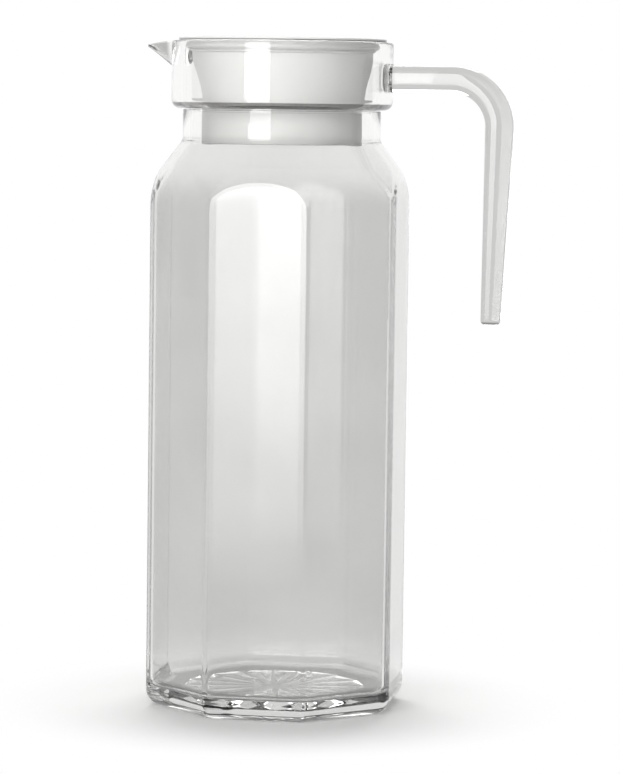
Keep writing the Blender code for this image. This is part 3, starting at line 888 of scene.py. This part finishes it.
def build_collar(acrylic):
    """Collar: ring with the spout added, the spout's channel cut, and the mortise for the handle."""
    collar = make_object("collar", collar_ring())
    beak = spout_solid(
        COLLAR_MIDDLE_RADIUS,
        SPOUT_HALF_WIDTH,
        SPOUT_DEPTH,
        SPOUT_TIP_HALF_WIDTH,
        SPOUT_LIP,
        SPOUT_ROOT_DROP / 2,
    )
    channel = spout_solid(
        COLLAR_BORE_RADIUS - RIM_ROUND,
        SPOUT_HALF_WIDTH - SPOUT_WALL,
        SPOUT_DEPTH - SPOUT_WALL,
        SPOUT_TIP_HALF_WIDTH,
        SPOUT_LIP_CHANNEL,
        OVERRUN,
    )
    mortise = bar_along_x(handle_section(BOND_GAP), TENON_END - BOND_GAP, COLLAR_RADIUS + OVERRUN)
    combined(
        collar,
        [
            ("UNION", make_object("spout_beak", beak)),
            ("DIFFERENCE", make_object("spout_channel", channel)),
            ("DIFFERENCE", make_object("handle_mortise", mortise)),
        ],
    )
    put_in(dress(collar, acrylic), "collar", "jug")


# Handle


def handle_path():
    """(x, z, direction, side) along the handle: out from the collar, round the bend, down to its end."""
    bend_x = HANDLE_REACH - HANDLE_BEND_RADIUS
    bend_z = HANDLE_HEIGHT - HANDLE_BEND_RADIUS
    path = [(TENON_END, HANDLE_HEIGHT, 0, HANDLE_SIDE)]
    for i in range(BEND_STEPS + 1):
        direction = -(math.pi / 2 + HANDLE_LEAN) * i / BEND_STEPS
        x = bend_x - HANDLE_BEND_RADIUS * math.sin(direction)
        z = bend_z + HANDLE_BEND_RADIUS * math.cos(direction)
        side = HANDLE_SIDE + (HANDLE_BEND_SIDE - HANDLE_SIDE) * i / BEND_STEPS
        path.append((x, z, direction, side))
    x, z, direction, side = path[-1]
    length = (z - HANDLE_END) / math.cos(HANDLE_LEAN)
    for i in range(1, DROP_STEPS + 1):
        share = i / DROP_STEPS
        along = (length - HANDLE_END_ROUND) * share
        side = HANDLE_BEND_SIDE + (HANDLE_END_SIDE - HANDLE_BEND_SIDE) * share
        path.append((x + along * math.cos(direction), z + along * math.sin(direction), direction, side))
    end_centre = (HANDLE_END_ROUND, length - HANDLE_END_ROUND)
    for inset, along in arc(end_centre, HANDLE_END_ROUND, math.pi, math.pi / 2, FILLET_STEPS)[1:]:
        side = HANDLE_END_SIDE - 2 * inset
        path.append((x + along * math.cos(direction), z + along * math.sin(direction), direction, side))
    return path


def build_handle(acrylic):
    """Handle: a rounded square carried along its path, wider and narrower with it."""
    outline = rounded_square(HANDLE_SIDE, HANDLE_EDGE_RADIUS)
    rings = []
    for x, z, direction, side in handle_path():
        scale = side / HANDLE_SIDE
        ring = []
        for across, up in outline:
            lift = up * scale
            ring.append((x - lift * math.sin(direction), across * scale, z + lift * math.cos(direction)))
        rings.append(ring)
    handle = make_object("handle", lofted(rings))
    put_in(dress(handle, acrylic), "handle", "jug")


# Lid


def cap_turning():
    """Flange with a round grip recess in it, whose wall plugs into the sleeve."""
    bottom = GRIP_FLOOR - CAP_WALL
    return turned(
        filleted(
            [
                (0, GRIP_FLOOR, 0),
                (GRIP_RADIUS, GRIP_FLOOR, GRIP_FILLET),
                (GRIP_RADIUS, FLANGE_TOP, FLANGE_ROUND),
                (FLANGE_RADIUS, FLANGE_TOP, FLANGE_ROUND),
                (FLANGE_RADIUS, FLANGE_BOTTOM, FLANGE_ROUND),
                (CAP_RADIUS, FLANGE_BOTTOM, 0),
                (CAP_RADIUS, bottom, CAP_LEAD_IN),
                (0, bottom, 0),
            ],
        )
    )


def grip_bar():
    """Bar across the recess, from the spout's side to the handle's, to pinch and turn the lid by."""
    foot = GRIP_FLOOR - CAP_WALL / 2
    top = FLANGE_TOP - GRIP_BAR_BELOW_FLANGE
    outline = filleted(
        [
            (-GRIP_BAR_FOOT / 2, foot, 0),
            (GRIP_BAR_FOOT / 2, foot, 0),
            (GRIP_BAR_TOP / 2, top, GRIP_BAR_ROUND),
            (-GRIP_BAR_TOP / 2, top, GRIP_BAR_ROUND),
        ]
    )
    end = GRIP_RADIUS + CAP_WALL / 2
    return turned_with_lid(bar_along_x(outline, -end, end))


def sleeve_turning():
    """Sleeve that stands in the collar, with a step on the ledge and a narrower plug down the neck."""
    bead = SLEEVE_RADIUS + BEAD_DEPTH
    plug_bore = PLUG_RADIUS - PLUG_WALL
    return turned(
        filleted(
            [
                (SLEEVE_BORE_RADIUS, SLEEVE_TOP, 0),
                (SLEEVE_RADIUS, SLEEVE_TOP, 0),
                (SLEEVE_RADIUS, BEAD_TOP, 0),
                (bead, BEAD_TOP, 0),
                (bead, BEAD_TOP - BEAD_HEIGHT / 2, 0),
                (SLEEVE_RADIUS, BEAD_TOP - BEAD_HEIGHT, 0),
                (SLEEVE_RADIUS, SLEEVE_BOTTOM, SLEEVE_EDGE_ROUND),
                (PLUG_RADIUS, SLEEVE_BOTTOM, SLEEVE_EDGE_ROUND),
                (PLUG_RADIUS, PLUG_BOTTOM, PLUG_LEAD_IN),
                (plug_bore, PLUG_BOTTOM, 0),
                (plug_bore, STEP_TOP, SLEEVE_EDGE_ROUND),
                (SLEEVE_BORE_RADIUS, STEP_TOP, 0),
            ]
        )
    )


def pour_windows():
    """Arch cut right through the sleeve, towards the spout and towards the handle."""
    sill = STEP_TOP + WINDOW_SILL
    outline = []
    for i in range(WINDOW_STEPS + 1):
        across, up = full_arch(math.pi * i / WINDOW_STEPS, WINDOW_FULLNESS)
        outline.append((WINDOW_HALF_WIDTH * across, sill + WINDOW_HEIGHT * up))
    end = SLEEVE_RADIUS + OVERRUN
    return turned_with_lid(bar_along_x(outline, -end, end))


def seal_turning():
    """Ring with rounded lips on its outer side."""
    bore = SLEEVE_RADIUS + RUNNING_GAP
    lip = COLLAR_BORE_RADIUS - RUNNING_GAP
    profile = [(bore, SEAL_TOP), (bore, SEAL_BOTTOM)]
    count = SEAL_LIPS * LIP_STEPS
    for i in range(count + 1):
        wave = (1 + math.cos(math.tau * SEAL_LIPS * i / count)) / 2
        profile.append((lip - SEAL_LIP_DEPTH * wave, SEAL_BOTTOM + SEAL_HEIGHT * i / count))
    return turned(profile)


def build_lid(plastic, silicone):
    """Lid: cap with its grip bar, sleeve with its windows, and seal."""
    cap = make_object("lid_cap", cap_turning())
    combined(cap, [("UNION", make_object("grip_bar", grip_bar()))])
    put_in(dress(cap, plastic), "lid_cap", "lid")
    sleeve = make_object("pour_sleeve", sleeve_turning())
    combined(sleeve, [("DIFFERENCE", make_object("pour_windows", pour_windows()))])
    put_in(dress(sleeve, plastic), "pour_sleeve", "lid")
    seal = make_object("lid_seal", seal_turning())
    put_in(dress(seal, silicone), "lid_seal", "seal")


# Studio


def add_camera():
    """The photograph's camera."""
    data = bpy.data.cameras.new("photo_camera")
    data.sensor_width = SENSOR
    data.lens = SENSOR * FOCAL_PIXELS / IMAGE_HEIGHT
    made = bpy.data.objects.new("photo_camera", data)
    bpy.context.scene.collection.objects.link(made)
    out = CAMERA_DISTANCE * math.sin(CAMERA_AZIMUTH)
    back = -CAMERA_DISTANCE * math.cos(CAMERA_AZIMUTH)
    made.location = (out, back, CAMERA_HEIGHT)
    pitch = math.atan((IMAGE_HEIGHT / 2 - HORIZON_ROW) / FOCAL_PIXELS)
    yaw = math.atan((IMAGE_WIDTH / 2 - AXIS_COLUMN) / FOCAL_PIXELS)
    turn = Matrix.Rotation(CAMERA_AZIMUTH - yaw, 4, "Z")
    turn @= Matrix.Rotation(math.pi / 2 - pitch, 4, "X")
    turn @= Matrix.Rotation(CAMERA_ROLL, 4, "Z")
    made.rotation_euler = turn.to_euler()
    bpy.context.scene.camera = made


def shown(tree):
    """1 for rays that show the surroundings, straight or by gloss and clear plastic; 0 for rays that light,
    which are those that left a matt surface."""
    path = add(tree, "ShaderNodeLightPath").outputs
    kinds = path["Is Camera Ray"]
    for kind in ("Is Glossy Ray", "Is Transmission Ray"):
        kinds = add(tree, "ShaderNodeMath", {0: kinds, 1: path[kind]}, operation="ADD").outputs[0]
    either = add(tree, "ShaderNodeClamp", {"Value": kinds})
    count = {0: path["Diffuse Depth"], 1: FIRST_BOUNCE}
    unlit = add(tree, "ShaderNodeMath", count, operation="LESS_THAN")
    both = {0: either.outputs[0], 1: unlit.outputs[0]}
    return add(tree, "ShaderNodeMath", both, operation="MULTIPLY").outputs[0]


def add_floor():
    """Plain pale table top that keeps the jug's shadow near it and shows as white further out."""
    shape = bmesh.new()
    bmesh.ops.create_circle(shape, cap_ends=True, radius=TABLE_RADIUS, segments=TURN_STEPS)
    floor = make_object("floor", shape)
    made, tree = new_material("painted_floor")
    white = shown(tree)
    matt = add(tree, "ShaderNodeBsdfDiffuse", {"Color": linear(TABLE_SHADE)})
    level = add(tree, "ShaderNodeMath", {0: white, 1: TABLE_GLOW}, operation="MULTIPLY")
    glow = add(tree, "ShaderNodeEmission", {"Strength": level.outputs[0]})
    near = add(tree, "ShaderNodeAddShader", {0: matt.outputs[0], 1: glow.outputs[0]})
    place = add(tree, "ShaderNodeTexCoord").outputs["Object"]
    reach = add(tree, "ShaderNodeVectorMath", {0: place}, operation="LENGTH")
    far = add(
        tree,
        "ShaderNodeMapRange",
        {"Value": reach.outputs["Value"], "From Min": TABLE_NEAR, "From Max": TABLE_FAR},
        interpolation_type="SMOOTHSTEP",
    )
    share = add(tree, "ShaderNodeMath", {0: far.outputs["Result"], 1: white}, operation="MULTIPLY")
    plain = add(tree, "ShaderNodeEmission")
    total = add(tree, "ShaderNodeMixShader", {0: share.outputs[0], 1: near.outputs[0], 2: plain.outputs[0]})
    add(tree, "ShaderNodeOutputMaterial", {"Surface": total.outputs[0]})
    floor.data.materials.append(made)


def add_world():
    """White all round where it is seen. Where it lights, a low level all round and a soft fill in front,
    with a gain for light that comes to a matt piece through clear plastic, so that the lid looks about as
    white in the collar as out of it."""
    world = bpy.data.worlds.new("white_studio")
    bpy.context.scene.world = world
    world.use_nodes = True
    tree = world.node_tree
    tree.nodes.clear()
    seen = add(tree, "ShaderNodeBackground", {"Color": linear(WHITE)})
    way = add(tree, "ShaderNodeTexCoord").outputs["Generated"]
    facing = add(tree, "ShaderNodeVectorMath", {0: way, 1: FILL_TOWARDS}, operation="DOT_PRODUCT")
    front = add(tree, "ShaderNodeMath", {0: facing.outputs["Value"], 1: 0.0}, operation="MAXIMUM")
    lobe = add(tree, "ShaderNodeMath", {0: front.outputs[0], 1: FILL_POWER}, operation="POWER")
    fill = {0: lobe.outputs[0], 1: FILL_RADIANCE, 2: AMBIENT}
    level = add(tree, "ShaderNodeMath", fill, operation="MULTIPLY_ADD")
    through = add(tree, "ShaderNodeLightPath").outputs["Is Transmission Ray"]
    gain = add(tree, "ShaderNodeMath", {0: through, 1: CLEAR_WALL_GAIN, 2: 1.0}, operation="MULTIPLY_ADD")
    gained = {0: level.outputs[0], 1: gain.outputs[0]}
    strength = add(tree, "ShaderNodeMath", gained, operation="MULTIPLY").outputs[0]
    light = add(tree, "ShaderNodeBackground", {"Color": linear(WHITE), "Strength": strength})
    both = add(tree, "ShaderNodeMixShader", {0: shown(tree), 1: light.outputs[0], 2: seen.outputs[0]})
    add(tree, "ShaderNodeOutputWorld", {"Surface": both.outputs[0]})


def not_straight_through(tree):
    """0 for rays that have only gone straight through clear plastic, and 1 for all others."""
    path = add(tree, "ShaderNodeLightPath").outputs
    turns = {0: path["Diffuse Depth"], 1: path["Glossy Depth"]}
    turned_away = add(tree, "ShaderNodeMath", turns, operation="ADD").outputs[0]
    straight = {0: turned_away, 1: FIRST_BOUNCE}
    unturned = add(tree, "ShaderNodeMath", straight, operation="LESS_THAN").outputs[0]
    through = {0: path["Transmission Depth"], 1: FIRST_BOUNCE}
    entered = add(tree, "ShaderNodeMath", through, operation="GREATER_THAN").outputs[0]
    hidden = add(tree, "ShaderNodeMath", {0: unturned, 1: entered}, operation="MULTIPLY").outputs[0]
    return add(tree, "ShaderNodeMath", {0: 1.0, 1: hidden}, operation="SUBTRACT").outputs[0]


def add_softbox(name, place, target, size, radiance, fade, shows_through):
    """Rectangular softbox that fades out towards its lower edge, hidden from the camera itself. Unless it
    shows_through, it is also hidden from rays that have only gone straight through clear plastic."""
    data = bpy.data.lights.new(name, "AREA")
    data.shape = "RECTANGLE"
    data.size, data.size_y = size
    data.energy = ENERGY_FACTOR * radiance * data.size * data.size_y
    data.use_nodes = True
    tree = data.node_tree
    tree.nodes.clear()
    across_and_up = add(tree, "ShaderNodeNewGeometry").outputs["Parametric"]
    up = add(tree, "ShaderNodeSeparateXYZ", {0: across_and_up}).outputs[1]
    level = add(tree, "ShaderNodeMapRange", {"Value": up, "From Max": fade}).outputs["Result"]
    strength = add(tree, "ShaderNodeMath", {0: level, 1: FADE_POWER}, operation="POWER").outputs[0]
    if not shows_through:
        masked = {0: strength, 1: not_straight_through(tree)}
        strength = add(tree, "ShaderNodeMath", masked, operation="MULTIPLY").outputs[0]
    glow = add(tree, "ShaderNodeEmission", {"Strength": strength})
    add(tree, "ShaderNodeOutputLight", {"Surface": glow.outputs[0]})
    made = bpy.data.objects.new(name, data)
    bpy.context.scene.collection.objects.link(made)
    made.location = place
    made.rotation_euler = (Vector(target) - Vector(place)).to_track_quat("-Z", "Y").to_euler()
    made.visible_camera = False


def add_lights():
    """A tall softbox in front, whose lower part hangs past the table top, and a broad one above and behind.
    The soft fill from the front is part of the world."""
    middle = (FRONT_LOW + FRONT_HIGH) / 2
    out = FRONT_DISTANCE * math.sin(FRONT_AZIMUTH)
    back = -FRONT_DISTANCE * math.cos(FRONT_AZIMUTH)
    place = (out, back, middle)
    target = (0, 0, middle)
    size = (FRONT_WIDTH, FRONT_HIGH - FRONT_LOW)
    add_softbox("front_softbox", place, target, size, FRONT_RADIANCE, FRONT_FADE, shows_through=False)
    target = (0, 0, 0)
    size = (TOP_SIZE, TOP_SIZE)
    add_softbox("top_softbox", TOP_PLACE, target, size, TOP_RADIANCE, TOP_FADE, shows_through=True)


def main():
    """Makes the camera, the pieces and the studio."""
    add_camera()
    # The vessel's zones are painted light; the collar's spout zone and foot band, and the handle's end band,
    # are painted shade
    vessel_painted_light_zones = (BASE_PAINTED_LIGHT_ZONE, SHOULDER_PAINTED_LIGHT_ZONE, NECK_PAINTED_LIGHT_ZONE)
    build_vessel(clear_acrylic("vessel", WALL_SHADE, PALE_SHADE, vessel_painted_light_zones))
    collar_acrylic = clear_acrylic("collar", COLLAR_SHADE, CLEAREST_SHADE, (SPOUT_PAINTED_SHADE_ZONE,), (PAINTED_FOOT_SHADE_BAND,))
    build_collar(collar_acrylic)
    build_handle(clear_acrylic("handle", HANDLE_SHADE, WALL_SHADE, bands=(HANDLE_END_PAINTED_BAND,)))
    build_lid(white_polypropylene(), clear_silicone())
    add_floor()
    add_world()
    add_lights()
    bpy.context.scene.view_settings.view_transform = "Standard"
    # Light is passed on many times inside clear walls before it comes out
    bpy.context.scene.cycles.max_bounces = CLEAR_BOUNCES
    bpy.context.scene.cycles.transmission_bounces = CLEAR_BOUNCES
    bpy.context.scene.cycles.glossy_bounces = CLEAR_BOUNCES


main()
